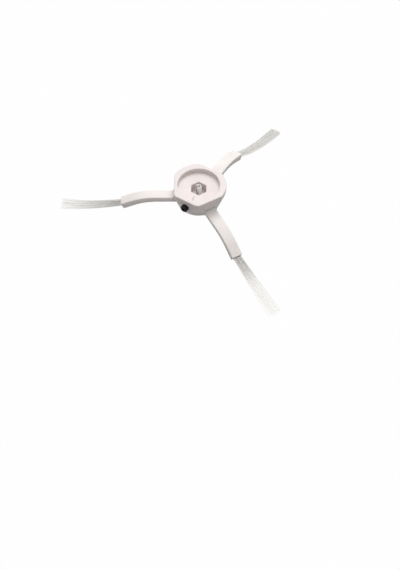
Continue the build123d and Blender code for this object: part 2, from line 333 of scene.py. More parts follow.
def add_surface(name, tubes, closed=False):
    """Mesh object from grids of points: tubes by rows by columns.

    Columns run round and close. Rows close too, or end in flat caps. Faces are turned outwards by the sign of
    the volume that they enclose.
    """
    count, rows, columns = tubes.shape[:3]
    index = np.arange(count * rows * columns).reshape(count, rows, columns)
    lower = index if closed else index[:, :-1]
    upper = np.roll(index, -1, axis=1) if closed else index[:, 1:]
    quads = np.stack([lower, np.roll(lower, -1, 2), np.roll(upper, -1, 2), upper], axis=-1).reshape(-1, 4)
    caps = np.zeros((0, columns), int) if closed else np.concatenate([index[:, 0, ::-1], index[:, -1]])
    points = tubes.reshape(-1, 3)
    fan = np.concatenate([quads[:, [0, 1, 2]], quads[:, [0, 2, 3]]])
    for corner in range(1, columns - 1):
        fan = np.concatenate([fan, caps[:, [0, corner, corner + 1]]])
    volume = np.einsum("ij,ij->", points[fan[:, 0]], np.cross(points[fan[:, 1]], points[fan[:, 2]]))
    if volume < 0:
        quads = quads[:, ::-1]
        caps = caps[:, ::-1]
    sizes = np.concatenate([np.full(len(quads), 4), np.full(len(caps), columns)])
    mesh = bpy.data.meshes.new(name)
    mesh.vertices.add(len(points))
    mesh.vertices.foreach_set("co", points.astype(np.float32).ravel())
    mesh.loops.add(int(sizes.sum()))
    mesh.loops.foreach_set("vertex_index", np.concatenate([quads.ravel(), caps.ravel()]).astype(np.int32))
    mesh.polygons.add(len(sizes))
    mesh.polygons.foreach_set("loop_start", (np.cumsum(sizes) - sizes).astype(np.int32))
    mesh.polygons.foreach_set("use_smooth", np.ones(len(sizes), bool))
    mesh.update(calc_edges=True)
    if mesh.validate():
        raise RuntimeError(name + " has faulty faces")
    mesh.set_sharp_from_angle(angle=math.radians(SHARP_DEGREES))
    piece = bpy.data.objects.new(name, mesh)
    bpy.context.scene.collection.objects.link(piece)
    return piece


def add_values(piece, name, values):
    """Point attribute for a material to read."""
    attribute = piece.data.attributes.new(name, "FLOAT", "POINT")
    attribute.data.foreach_set("value", values.astype(np.float32).ravel())


def dress(piece, node, material):
    """The piece stands for the node, rides with the brush and gets its finish."""
    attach(piece, BODY)
    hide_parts(node)
    piece.data.materials.append(material)


# Shapes


def flat_limit(turn, degrees, distance):
    """Inverse radius, at each angle, of a straight flat at this distance from the axis."""
    return np.clip(np.cos(turn - math.radians(degrees)), 0, None) / distance


def soft_least(limits, sharpness=200):
    """Least of several radii, given as inverse radii, with their meeting edges a little rounded."""
    limits = np.stack(limits)
    most = limits.max(axis=0)
    return np.sum((limits / most) ** sharpness, axis=0) ** (-1 / sharpness) / most


def hexagon_outline(turn, across_flats, degrees=0.0, sharpness=70):
    """Radius of a hexagon whose flats face this angle and every 60 degrees from it, with eased corners."""
    limits = [flat_limit(turn, degrees + 60 * side, across_flats / 2) for side in range(6)]
    return soft_least(limits, sharpness)


def hub_outline(turn, radius, sizes, screw_angle):
    """Outer radius of the hub at each angle: a circle cut by the arm flats and the screw flat."""
    limits = [np.full_like(turn, 1 / radius), flat_limit(turn, math.degrees(screw_angle), sizes.screw_flat)]
    limits += [flat_limit(turn, degrees, sizes.arm_flat) for degrees in ARM_ANGLES.values()]
    return soft_least(limits)


def within(distance, ease=0.0002):
    """1 where the distance inside an edge is positive, 0 where it is negative, and a short slope between."""
    return smooth_step(distance / ease + 0.5)


def add_pads(outline, turn, depth, sizes, arm):
    """Outline at this depth, brought out to the arm flats over each pad and over the seat of each arm.

    A pad is a plain block under the rim. A seat has the section of the arm's root, and is rolled as that is.
    """
    least_facing = 0.3
    far_aside = 1.0
    for degrees in ARM_ANGLES.values():
        swing = turn - math.radians(degrees)
        facing = np.cos(swing) > least_facing
        aside = np.where(facing, sizes.arm_flat * np.tan(swing), far_aside)
        drop = depth - arm.top_depth
        across = math.cos(arm.root_roll) * aside - math.sin(arm.root_roll) * drop
        below = math.cos(arm.root_roll) * drop + math.sin(arm.root_roll) * aside
        pad = within(sizes.pad_width / 2 - np.abs(aside)) * within(sizes.pad_depth - depth)
        seat = within(arm.root_width / 2 - np.abs(across)) * within(below)
        seat = seat * within(arm.root_thickness - below)
        flat = sizes.arm_flat / np.where(facing, np.cos(swing), 1.0)
        outline = np.where(facing, outline + np.maximum(pad, seat) * (flat - outline), outline)
    return outline


def hub_points(sizes, screw, arm):
    """Closed surface of the hub, and 1 where the weld line lies.

    A profile of radius and height runs from the screw hole out over the socket, the recess, the rim and the
    side, and back under the hub. Radii depend on the angle where an outline has flats. The clamp screw's bore
    is a pocket in the socket's wall, and the weld line is a narrow hollow in the recess floor.
    """
    turn = np.linspace(0, TURN, HUB_COLUMNS, endpoint=False)
    hole = screw.neck_radius + screw.neck_play
    counterbore = screw.head_radius + screw.head_play
    socket = hexagon_outline(turn, sizes.socket_flats)
    rim = hub_outline(turn, sizes.rim_radius, sizes, screw.clamp_angle)
    wall_depth = sizes.recess_depth - sizes.recess_dish
    side_shares = np.linspace(0.08, 0.91, 42)

    # Radius, depth, rounding and rows up to the next corner
    corners = [
        (hole, screw.seat_depth, sizes.hole_edge, 2),
        (hole, sizes.socket_depth, sizes.hole_mouth, 3),
        (socket, sizes.socket_depth, sizes.socket_corner, 16),
        (socket, sizes.recess_depth, sizes.socket_mouth, 14),
        (sizes.recess_radius, wall_depth, sizes.recess_corner, 4),
        (sizes.recess_radius, 0, sizes.recess_mouth, 3),
        (rim, 0, sizes.rim_edge, 3),
        (rim, sizes.rim_height, sizes.rim_edge, 0),
    ]
    for share in side_shares:
        corners.append((*side_outline(turn, share, sizes, screw, arm), 0.0, 0))
    corners += [
        (*side_outline(turn, 1.0, sizes, screw, arm), sizes.foot_edge, 3),
        (sizes.boss_radius, sizes.boss_depth, sizes.boss_edge, 3),
        (counterbore, sizes.boss_depth, sizes.counterbore_edge, 3),
        (counterbore, screw.seat_depth, sizes.counterbore_edge, 3),
    ]
    levels = np.stack([level(turn, radius, -depth) for radius, depth, span, rows in corners])
    spans = [span for radius, depth, span, rows in corners]
    runs = [rows for radius, depth, span, rows in corners]
    profile = rounded_rows(levels, spans, runs, closed=True)

    radius, height = profile[..., 0], profile[..., 1]
    swing = turn - screw.clamp_angle
    bore_distance = np.hypot(radius * np.sin(swing), height + screw.clamp_depth)
    inside = (radius < sizes.socket_flats) & (np.cos(swing) > 0)
    pocket = within(screw.clamp_radius + screw.clamp_play - bore_distance, ease=0.00012)
    end_play = 0.00002
    bottom = screw.clamp_inner - end_play
    profile[..., 0] = np.where(inside, radius + pocket * (bottom - radius), radius)

    start_fade = 0.0006
    end_fade = 0.0008
    floor_slack = 0.0001
    swing = turn - sizes.line_angle
    across = np.exp(-(radius * np.sin(swing) / sizes.line_width) ** 2) * (np.cos(swing) > 0)
    fade_in = smooth_step((radius - sizes.line_start) / start_fade)
    fade_out = smooth_step((sizes.line_end - radius) / end_fade)
    floor = (height < sizes.recess_dish - sizes.recess_depth) & (height > -sizes.recess_depth - floor_slack)
    line = across * fade_in * fade_out * floor
    profile[..., 1] -= sizes.line_depth * line
    return revolve(profile, turn), line


def side_outline(turn, share, sizes, screw, arm):
    """Outline and depth of the hub's tapered side at this share of the way from the rim to its foot."""
    radius = sizes.rim_radius + (sizes.body_radius - sizes.rim_radius) * share
    depth = sizes.rim_height + (sizes.body_depth - sizes.rim_height) * share
    outline = hub_outline(turn, radius, sizes, screw.clamp_angle)
    return add_pads(outline, turn, depth, sizes, arm), depth


def arm_line(sizes, radius):
    """Upper middle line of an arm at each radius: height and slope. It is level, an arc, then straight."""
    bend_radius = (sizes.bend_end - sizes.bend_start) / math.sin(sizes.end_slope)
    slope = np.arcsin(np.clip((radius - sizes.bend_start) / bend_radius, 0, math.sin(sizes.end_slope)))
    straight = np.clip(radius - sizes.bend_end, 0, None) * math.tan(sizes.end_slope)
    return -sizes.top_depth - bend_radius * (1 - np.cos(slope)) - straight, slope


def arm_end(sizes):
    """Middle of the arm's square-cut end in the side profile."""
    height, slope = arm_line(sizes, np.array(sizes.reach))
    half = sizes.end_thickness / 2
    return np.array([sizes.reach - half * math.sin(slope), height - half * math.cos(slope)])


def section_points(origins, across, rises, half_width, half_height, edge):
    """Rounded rectangles, one row for each origin, in the plane of that row's across and rise directions.

    Each corner is a quarter circle of radius edge, with one more point half a radius beside each of its ends.
    """
    quarter = np.radians([0, 0, 12, 30, 45, 60, 78, 90, 90])
    slide = np.tile([-0.5, 0, 0, 0, 0, 0, 0, 0, 0.5], 4)
    turn = np.concatenate([quarter + math.pi / 2 * side for side in range(4)])
    middle = np.repeat(np.arange(4) * math.pi / 2 + math.pi / 4, len(quarter))
    edge = edge[:, None]
    sideways = np.sign(np.cos(middle)) * (half_width[:, None] - edge)
    sideways = sideways + edge * (np.cos(turn) - slide * np.sin(turn))
    up = np.sign(np.sin(middle)) * (half_height[:, None] - edge)
    up = up + edge * (np.sin(turn) + slide * np.cos(turn))
    return origins[:, None] + across[:, None] * sideways[..., None] + rises[:, None] * up[..., None]


def arm_points(sizes, tuft):
    """Arm along +X: rounded rectangles from the key's inner end to the mouth of the slot for the filaments.

    Between them they follow the bent and rolled arm and go round the edge of its end. Near the hub the top
    rises as a quarter circle.
    """
    rows = 43
    fillet_end = sizes.seat + sizes.root_fillet
    hollow = 1 - np.sin(np.radians(np.arange(90, 0, -10)))
    radius = sizes.seat + sizes.root_fillet * hollow
    radius = np.append(radius, np.linspace(fillet_end, sizes.reach, rows))
    height, slope = arm_line(sizes, radius)
    to_end = np.clip(fillet_end - radius, 0, sizes.root_fillet)
    rise = sizes.root_fillet - np.sqrt(sizes.root_fillet ** 2 - to_end ** 2)
    share = (radius - sizes.seat) / (sizes.reach - sizes.seat)
    roll = sizes.root_roll * (1 - share)
    zero = np.zeros_like(radius)
    upright = np.stack([np.sin(slope), zero, np.cos(slope)], axis=-1)
    sideways = np.array([0.0, 1.0, 0.0])
    rises = np.cos(roll)[:, None] * upright - np.sin(roll)[:, None] * sideways
    across = np.cos(roll)[:, None] * sideways + np.sin(roll)[:, None] * upright
    thickness = sizes.root_thickness + (sizes.end_thickness - sizes.root_thickness) * share
    heights = (thickness + rise) / 2
    widths = (sizes.root_width + (sizes.end_width - sizes.root_width) * share) / 2
    origins = np.stack([radius, zero, height], axis=-1) + rises * (rise - heights)[:, None]
    edges = np.full(len(radius), sizes.edge_radius)
    key_middle = origins[0] - rises[0] * rise[0] / 2

    key_x = np.array([sizes.key_inner, sizes.key_neck, sizes.key_neck, sizes.seat])
    key_origins = key_middle + np.outer(key_x - sizes.seat, [1.0, 0.0, 0.0])
    key_widths = np.array([sizes.key_width, sizes.key_width, sizes.key_neck_width, sizes.key_neck_width]) / 2

    out = np.cross(across[-1], rises[-1])
    rounding = np.radians([22, 45, 68, 90])
    end_origins = origins[-1] + np.outer(sizes.end_edge * (np.sin(rounding) - 1), out)
    end_inset = sizes.end_edge * (1 - np.cos(rounding))
    origins[-1] -= out * sizes.end_edge
    # How deep each row of the slot's mouth lies, and how far it stands off the plug
    slot_back = np.array([0, 0, 0.00015, 0.0003])
    slot_ease = np.array([0.0002, 0.0001, 0.00005, 0.00005])
    slot_origins = end_origins[-1] - np.outer(slot_back, out)

    last = np.full(len(end_inset) + len(slot_back), len(radius) - 1)
    order = np.concatenate([np.zeros(len(key_x), int), np.arange(len(radius)), last])
    widths = np.concatenate([key_widths, widths, widths[-1] - end_inset, tuft.plug_width / 2 + slot_ease])
    key_heights = np.full(len(key_x), sizes.key_thickness / 2)
    slot_heights = tuft.plug_thickness / 2 + slot_ease
    heights = np.concatenate([key_heights, heights, heights[-1] - end_inset, slot_heights])
    key_edges = np.full(len(key_x), sizes.key_edge)
    slot_edges = np.full(len(slot_back), sizes.slot_edge)
    edges = np.concatenate([key_edges, edges, sizes.edge_radius - end_inset, slot_edges])
    origins = np.concatenate([key_origins, origins, end_origins, slot_origins])
    return section_points(origins, across[order], rises[order], widths, heights, edges)


def tuft_path(arm, tuft, distance):
    """Middle of the tuft in the side profile at each distance from the arm's end, and the slope there.

    The slope runs evenly between the arm's end, the knee and the tips, and is added up along the way. A
    distance under zero lies in the arm.
    """
    steps = 400
    past_tips = 1.1
    start = arm_end(arm)
    stations = np.array([-tuft.plug_length, 0, tuft.knee_length, tuft.knee_length + tuft.free_length])
    slopes = np.array([arm.end_slope, arm.end_slope, tuft.knee_slope, tuft.tip_slope])
    fine = np.linspace(stations[0], past_tips * stations[-1], steps)
    slope = np.interp(fine, stations, slopes)
    step = fine[1] - fine[0]
    x = np.cumsum(np.cos(slope)) * step
    z = np.cumsum(-np.sin(slope)) * step
    x += start[0] - np.interp(0, fine, x)
    z += start[1] - np.interp(0, fine, z)
    return np.interp(distance, fine, x), np.interp(distance, fine, z), np.interp(distance, fine, slope)


def filament_points(arm, tuft, count, longer, drift, bow, fan, spread, splay, clumping, tip_round, taper,
                    seed):
    """Filaments of one tuft along +X: tubes whose middle lines fan out from the plug and drift to one side.

    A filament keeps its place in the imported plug, moves towards the middle of its clump at the tips, and
    strays by a slow wave of its own that grows with the distance from the arm. Results are the points, how
    far along the tuft each one lies, and a tone for each filament.
    """
    layers = 3
    clumps = 15
    rows = 11
    sides = 5
    plug_share = 0.9
    gather_power = 1.4

    # How far filaments stray, and their limits, as shares of the tuft's half width and half thickness
    root_stray = 0.02
    root_limit = 0.97
    root_lift = 0.08
    root_lift_limit = 0.95
    tip_lift = 0.25
    tip_lift_limit = 1.6
    wave_stray = 0.8 * splay

    draw = np.random.default_rng(seed)
    place = np.arange(count)
    across_root = ((place // layers + 0.5) / math.ceil(count / layers)) * 2 - 1
    up_root = ((place % layers + 0.5) / layers) * 2 - 1
    across_root = np.clip(across_root + draw.normal(0, root_stray, count), -root_limit, root_limit)
    up_root = np.clip(up_root + draw.normal(0, root_lift, count), -root_lift_limit, root_lift_limit)
    clump = np.floor((across_root + 1) / 2 * clumps)
    clump_middle = (clump + 0.5) / clumps * 2 - 1
    across_tip = across_root + clumping * (clump_middle - across_root) + draw.normal(0, splay, count)
    up_tip = up_root * draw.uniform(0.4, 1.0, count) + draw.normal(0, tip_lift, count)
    up_tip = np.clip(up_tip, -tip_lift_limit, tip_lift_limit)
    reach = tuft.knee_length + tuft.free_length
    tip = reach + longer - tuft.unevenness * draw.uniform(0, 1, count) ** 2 - tip_round * across_root ** 2

    inside = plug_share * tuft.plug_length
    distance = np.outer(tip + inside, np.linspace(0, 1, rows)) - inside
    x, z, slope = tuft_path(arm, tuft, distance)
    along = np.clip(distance / (reach + longer), 0, 1)
    widening = spread * tuft.tip_width - tuft.plug_width
    half_width = (tuft.plug_width + widening * along ** fan) / 2 - tuft.filament_radius
    half_thickness = (tuft.plug_thickness + (tuft.tip_thickness - tuft.plug_thickness) * along) / 2
    half_thickness = half_thickness - tuft.filament_radius
    ease = along ** gather_power
    wave = np.sin(TURN * (draw.uniform(0.5, 1.3, (count, 1)) * along + draw.uniform(0, 1, (count, 1))))
    stray = draw.normal(0, wave_stray, (count, 1)) * wave * along
    across = across_root[:, None] + (across_tip - across_root)[:, None] * ease + stray
    up = up_root[:, None] + (up_tip - up_root)[:, None] * ease
    y = half_width * across + drift * along ** bow
    x = x + half_thickness * up * np.sin(slope)
    z = z + half_thickness * up * np.cos(slope)

    around = np.linspace(0, TURN, sides, endpoint=False) + draw.uniform(0, TURN, (count, 1))
    around = around[:, None, :]
    radius = tuft.filament_radius * draw.uniform(0.88, 1.1, (count, 1, 1)) * (1 - taper * along[..., None])
    points = np.stack([
        x[..., None] + radius * np.sin(around) * np.sin(slope)[..., None],
        y[..., None] + radius * np.cos(around),
        z[..., None] + radius * np.sin(around) * np.cos(slope)[..., None],
    ], axis=-1)
    tone = np.broadcast_to(draw.uniform(0, 1, (count, 1, 1)), points.shape[:3])
    return points, np.broadcast_to(along[..., None], points.shape[:3]), tone


def thread_radius(height, turn, radius, pitch, depth):
    """Radius of a thread: a blunt ridge that climbs by the pitch in each turn."""
    root_share = 0.15
    flank_share = 0.6
    phase = np.abs((height / pitch - turn / TURN) % 1 * 2 - 1)
    ridge = smooth_step((phase - root_share) / flank_share)
    return radius - depth * (1 - ridge)


def cross_outline(turn, size, width):
    """Radius of a cross-shaped outline at each angle: four arms of this width, as long as size in all."""
    least = 1e-6
    along = np.maximum(np.abs(np.cos(turn)), np.abs(np.sin(turn)))
    beside = np.minimum(np.abs(np.cos(turn)), np.abs(np.sin(turn)))
    return np.minimum(size / 2 / along, width / 2 / np.maximum(beside, least))


def fixing_screw_points(screw):
    """Fixing screw about Z, and its painted shade: up to 1 where shade is painted into the hollows, the flute
    and the end of the thread.

    A profile runs from the floor of the cross slot, over the head and the neck, up the thread to its
    chamfered and cupped end. The slot's outline is a cross, the thread climbs with the angle, and a cutting
    flute runs down it.
    """
    turn = np.linspace(0, TURN, SCREW_COLUMNS, endpoint=False)
    cross = cross_outline(turn, screw.cross_length, screw.cross_width)
    low = -screw.seat_depth - screw.head_height
    high = -screw.tip_depth
    seat = -screw.seat_depth
    neck_end = -screw.neck_end
    slot_floor = low + screw.cross_depth
    slot_taper = 0.85

    # Radius, height and rounding
    corners = [
        (cross * CAP_SHARE, slot_floor, 0.0),
        (cross * slot_taper, slot_floor, 0.0001),
        (cross, low, 0.00006),
        (screw.head_radius, low, 0.0006),
        (screw.head_radius, seat, 0.00012),
        (screw.neck_radius, seat, 0.0001),
        (screw.neck_radius, neck_end, 0.0),
    ]
    head = corner_rows(turn, corners)
    thread_rows = 150
    chamfer = 1.4 * screw.thread_depth
    heights = np.linspace(neck_end, high, thread_rows)[:, None] + 0 * turn
    ends = np.minimum(heights - neck_end, high - heights)
    limit = screw.radius - chamfer + ends
    thread = thread_radius(heights, turn, screw.radius, screw.pitch, screw.thread_depth)

    flute_half = 0.55
    flute_ease = 0.3
    run_out = 0.15
    share = (high - heights) / (high - neck_end)
    swing = (turn - screw.flute_angle - screw.flute_twist * share + math.pi) % TURN - math.pi
    flute = smooth_step((flute_half - np.abs(swing)) / flute_ease) * smooth_step((1 - share) / run_out)
    thread = np.stack([np.minimum(thread, limit) - screw.flute_depth * flute, heights], axis=-1)

    cup_places = (0.0006, 0.0004, 0.0002, 0.00005)
    cup = []
    for radius in cup_places:
        cup.append(level(turn, radius, high - screw.cup_depth * (1 - (radius / screw.cup_radius) ** 2)))

    # Painted shade: how dark the cross slot, the cup in the end and the last rise of the thread are painted
    slot_shade = 0.75
    cup_shade = 0.6
    end_shade = 0.35
    end_height = 0.0002
    mouth_gap = 0.00005
    seat_gap = 0.0003
    slot = (head[..., 0] < screw.cross_length / 2) & (head[..., 1] > low + mouth_gap)
    slot &= head[..., 1] < seat - seat_gap
    end = end_shade * smooth_step(1 - (high - heights) / end_height)
    # The flute is cut in and also painted dark as its shade
    painted_shade = np.concatenate([slot_shade * slot, np.maximum(flute, end), np.full((len(cup), len(turn)), cup_shade)])
    return revolve(np.concatenate([head, thread, np.stack(cup)]), turn), painted_shade


def corner_rows(turn, corners):
    """Open profile through corners that are given as radius, height and rounding, with three rows between."""
    levels = np.stack([level(turn, radius, height) for radius, height, span in corners])
    spans = [span for radius, height, span in corners]
    return rounded_rows(levels, spans, [3] * len(corners), closed=False)


def clamp_screw_points(screw, flat):
    """Clamp screw along Z before it is laid over: a thread with a chamfered end, and a round head.

    The head has a hexagon hole. flat is the height of the face under it.
    """
    turn = np.linspace(0, TURN, SCREW_COLUMNS, endpoint=False)
    key = hexagon_outline(turn, screw.clamp_key)
    thread_rows = 200
    chamfer = 1.3 * screw.thread_depth
    heights = np.linspace(screw.clamp_inner, flat, thread_rows)[:, None] + 0 * turn
    limit = screw.clamp_radius - chamfer + heights - screw.clamp_inner
    thread = thread_radius(heights, turn, screw.clamp_radius, screw.clamp_pitch, screw.thread_depth)
    thread = np.stack([np.minimum(thread, limit), heights], axis=-1)
    inner_places = (0.00005, 0.0004)
    inner = np.stack([level(turn, radius, screw.clamp_inner) for radius in inner_places])
    outer = flat + screw.clamp_head_height
    key_edge = 0.0001
    key_floor = outer - screw.clamp_key_depth
    drill_depth = 0.0002

    # Radius, height and rounding
    corners = [
        (screw.clamp_radius, flat, 0.0),
        (screw.clamp_head_radius, flat, 0.00008),
        (screw.clamp_head_radius, outer, 0.0003),
        (key + key_edge, outer, 0.0),
        (key, outer - key_edge, 0.0),
        (key, key_floor, 0.00008),
        (key * CAP_SHARE, key_floor - drill_depth, 0.0),
    ]
    return revolve(np.concatenate([inner, thread, corner_rows(turn, corners)]), turn)


# Materials


def new_material(name):
    """Empty node material and its Principled shader."""
    material = bpy.data.materials.new(name)
    material.use_nodes = True
    nodes = material.node_tree.nodes
    return material, nodes, material.node_tree.links, nodes["Principled BSDF"]


def set_inputs(node, values):
    """Fixed values of a node's inputs."""
    for name, value in values.items():
        node.inputs[name].default_value = value


def grain_group():
    """Node group for moulded and drawn surfaces: slow mottling and fine grain on Object coordinates.

    Tone and Polish are slow noise about 0.5, and Height is fine noise for a Bump node.
    """
    name = "Surface grain"
    if name in bpy.data.node_groups:
        return bpy.data.node_groups[name]
    group = bpy.data.node_groups.new(name, "ShaderNodeTree")
    for label, default in (("Mottle Scale", 180.0), ("Grain Scale", 4000.0)):
        socket = group.interface.new_socket(label, in_out="INPUT", socket_type="NodeSocketFloat")
        socket.default_value = default
    for label in ("Tone", "Polish", "Height"):
        group.interface.new_socket(label, in_out="OUTPUT", socket_type="NodeSocketFloat")
    given = group.nodes.new("NodeGroupInput")
    result = group.nodes.new("NodeGroupOutput")
    place = group.nodes.new("ShaderNodeTexCoord")
    settings = (("Tone", "Mottle Scale", 3.0, 0.0), ("Polish", "Mottle Scale", 5.0, 0.013),
                ("Height", "Grain Scale", 4.0, 0.0))
    for label, scale, detail, shift in settings:
        moved = group.nodes.new("ShaderNodeMapping")
        moved.inputs["Location"].default_value = (shift, shift, shift)
        noise = group.nodes.new("ShaderNodeTexNoise")
        noise.inputs["Detail"].default_value = detail
        group.links.new(place.outputs["Object"], moved.inputs["Vector"])
        group.links.new(moved.outputs["Vector"], noise.inputs["Vector"])
        group.links.new(given.outputs[scale], noise.inputs["Scale"])
        group.links.new(noise.outputs["Fac"], result.inputs[label])
    return group


def place_grain(nodes, mottle_scale, grain_scale):
    """The grain group, placed in a material with its own scales, in features a metre."""
    grain = nodes.new("ShaderNodeGroup")
    grain.node_tree = grain_group()
    set_inputs(grain, {"Mottle Scale": mottle_scale, "Grain Scale": grain_scale})
    return grain


def mix_colour(nodes, links, factor, first, second):
    """Colour between two by a factor socket. first and second are colours or sockets."""
    mix = nodes.new("ShaderNodeMix")
    mix.data_type = "RGBA"
    links.new(factor, mix.inputs["Factor"])
    for label, value in (("A", first), ("B", second)):
        socket = next(s for s in mix.inputs if s.name == label and s.type == "RGBA")
        if isinstance(value, bpy.types.NodeSocket):
            links.new(value, socket)
        else:
            socket.default_value = (*value, 1)
    return next(s for s in mix.outputs if s.type == "RGBA")


def map_range(nodes, links, source, low, high, from_low=0.3, from_high=0.7):
    """Value of a noise or attribute socket, moved to another range."""
    node = nodes.new("ShaderNodeMapRange")
    set_inputs(node, {"From Min": from_low, "From Max": from_high, "To Min": low, "To Max": high})
    links.new(source, node.inputs["Value"])
    return node.outputs["Result"]


def attribute_value(nodes, name):
    """Socket that gives a point attribute of the piece."""
    node = nodes.new("ShaderNodeAttribute")
    node.attribute_name = name
    return node.outputs["Fac"]


def set_grain(nodes, links, shader, scales, colours, polish, bump):
    """Grain on a material: uneven polish and fine relief, and the mottled colour, which is the result.

    scales are the mottle's and the grain's, colours the two that the mottle mixes, polish the range of the
    roughness, and bump the height and strength of the relief.
    """
    grain = place_grain(nodes, *scales)
    links.new(map_range(nodes, links, grain.outputs["Polish"], *polish), shader.inputs["Roughness"])
    relief = nodes.new("ShaderNodeBump")
    set_inputs(relief, {"Distance": bump[0], "Strength": bump[1]})
    links.new(grain.outputs["Height"], relief.inputs["Height"])
    links.new(relief.outputs["Normal"], shader.inputs["Normal"])
    tone = map_range(nodes, links, grain.outputs["Tone"], 0.0, 1.0)
    return mix_colour(nodes, links, tone, *colours)


def tint(base, factor):
    """Colour made lighter or darker as a whole."""
    return tuple(min(1.0, part * factor) for part in base)


def hub_plastic(finish):
    """Rigid moulded plastic: warm white, satin, with faint mottling, and painted shade along the weld line's
    groove.
    """
    material, nodes, links, shader = new_material("hub_plastic")
    colours = (tint(finish.hub, 0.985), tint(finish.hub, 1.015))
    body = set_grain(nodes, links, shader, scales=(160.0, 5200.0), colours=colours,
                     polish=(0.36, 0.50), bump=(0.00003, 0.25))
    # Painted shade: the weld line's groove is mixed towards a darker tint of the hub
    line = attribute_value(nodes, "weld_line")
    painted_line_shade = mix_colour(nodes, links, line, body, tint(finish.hub, 0.45))
    links.new(painted_line_shade, shader.inputs["Base Color"])
    set_inputs(shader, {"Subsurface Weight": 0.25, "Subsurface Scale": 0.0014})
    set_inputs(shader, {"Subsurface Radius": (1.0, 0.75, 0.6)})
    return material


def arm_rubber(finish):
    """Soft moulded rubber: ivory, matt, a little translucent."""
    material, nodes, links, shader = new_material("arm_rubber")
    colours = (tint(finish.arm, 0.975), tint(finish.arm, 1.02))
    body = set_grain(nodes, links, shader, scales=(120.0, 3600.0), colours=colours,
                     polish=(0.50, 0.66), bump=(0.00004, 0.3))
    links.new(body, shader.inputs["Base Color"])
    set_inputs(shader, {"Subsurface Weight": 0.5, "Subsurface Scale": 0.0018})
    set_inputs(shader, {"Subsurface Radius": (1.0, 0.95, 0.9)})
    return material


def nylon(finish):
    """Drawn nylon: clear, with painted shade, a grey tint standing for the shade among close filaments that
    fades where they part.
    """
    material, nodes, links, shader = new_material("nylon")
    clear = attribute_value(nodes, "clear")
    tone = attribute_value(nodes, "tone")
    # Painted shade: grey tint where the filaments lie close, near white where they part, by the clear
    # attribute
    close = mix_colour(nodes, links, tone, tint(finish.nylon, 0.82), tint(finish.nylon, 0.87))
    parted = mix_colour(nodes, links, tone, tint(finish.nylon, 1.04), tint(finish.nylon, 1.05))
    links.new(mix_colour(nodes, links, clear, close, parted), shader.inputs["Base Color"])
    links.new(map_range(nodes, links, tone, 0.10, 0.18, 0.0, 1.0), shader.inputs["Roughness"])
    set_inputs(shader, {"Transmission Weight": 1.0, "IOR": 1.04})
    return material


def plated_steel(finish):
    """Zinc-plated steel: bright, with fine turning marks, and painted shade in the screw's hollows."""
    material, nodes, links, shader = new_material("plated_steel")
    colours = (tint(finish.steel, 0.85), tint(finish.steel, 1.1))
    body = set_grain(nodes, links, shader, scales=(900.0, 9000.0), colours=colours,
                     polish=(0.42, 0.56), bump=(0.00001, 0.3))
    painted_shade = attribute_value(nodes, "painted_shade")
    # Painted shade: the hollows are mixed towards a dark steel colour
    shaded_steel = mix_colour(nodes, links, painted_shade, body, tint(finish.steel, 0.1))
    links.new(shaded_steel, shader.inputs["Base Color"])
    set_inputs(shader, {"Metallic": 1.0})
    return material


def black_oxide(finish):
    """Blackened steel with a thin oily film, a little lighter where it is rubbed."""
    material, nodes, links, shader = new_material("black_oxide")
    colours = (finish.black, tint(finish.black, 2.0))
    body = set_grain(nodes, links, shader, scales=(1100.0, 8000.0), colours=colours,
                     polish=(0.32, 0.5), bump=(0.00001, 0.3))
    links.new(body, shader.inputs["Base Color"])
    set_inputs(shader, {"Metallic": 0.5, "Specular IOR Level": 0.15})
    return material


def seen_directly(nodes, links):
    """1 for the camera's rays and for what mirrors and clear pieces show, and 0 for light that spreads."""
    path = nodes.new("ShaderNodeLightPath")
    seen = path.outputs["Is Camera Ray"]
    for kind in ("Is Glossy Ray", "Is Transmission Ray"):
        most = nodes.new("ShaderNodeMath")
        most.operation = "MAXIMUM"
        links.new(seen, most.inputs[0])
        links.new(path.outputs[kind], most.inputs[1])
        seen = most.outputs[0]
    return seen


def floor_paper(finish):
    """Pale paper that the camera, mirrors and clear pieces see as white, and that keeps a light shadow."""
    material, nodes, links, shader = new_material("floor_paper")
    grain = place_grain(nodes, 30.0, 900.0)
    tone = map_range(nodes, links, grain.outputs["Tone"], 0.0, 1.0)
    body = mix_colour(nodes, links, tone, tint(finish.floor, 0.99), tint(finish.floor, 1.0))
    links.new(body, shader.inputs["Base Color"])
    set_inputs(shader, {"Roughness": 0.9, "Specular IOR Level": 0.0})
    white = nodes.new("ShaderNodeEmission")
    mix = nodes.new("ShaderNodeMixShader")
    whiteness = 0.99
    share = map_range(nodes, links, seen_directly(nodes, links), 0.0, whiteness, 0.0, 1.0)
    links.new(share, mix.inputs["Fac"])
    links.new(shader.outputs["BSDF"], mix.inputs[1])
    links.new(white.outputs["Emission"], mix.inputs[2])
    links.new(mix.outputs["Shader"], nodes["Material Output"].inputs["Surface"])
    return material


# Operators


class SIDEBRUSH_OT_hub(bpy.types.Operator):
    """Builds the moulded hub"""
    bl_idname = "sidebrush.hub"
    bl_label = "Hub"

    def execute(self, context):
        settings = context.scene.side_brush
        points, line = hub_points(settings.hub, settings.screw, settings.arm)
        piece = add_surface("moulded_hub", points[None], closed=True)
        add_values(piece, "weld_line", line)
        dress(piece, "hub", hub_plastic(settings.finish))
        return {"FINISHED"}


class SIDEBRUSH_OT_arms(bpy.types.Operator):
    """Builds the soft arms"""
    bl_idname = "sidebrush.arms"
    bl_label = "Arms"

    def execute(self, context):
        settings = context.scene.side_brush
        points = arm_points(settings.arm, settings.tuft)
        material = arm_rubber(settings.finish)
        for letter, degrees in ARM_ANGLES.items():
            piece = add_surface("soft_arm_" + letter, turned(points, degrees)[None])
            dress(piece, "flex_arm_" + letter, material)
        return {"FINISHED"}


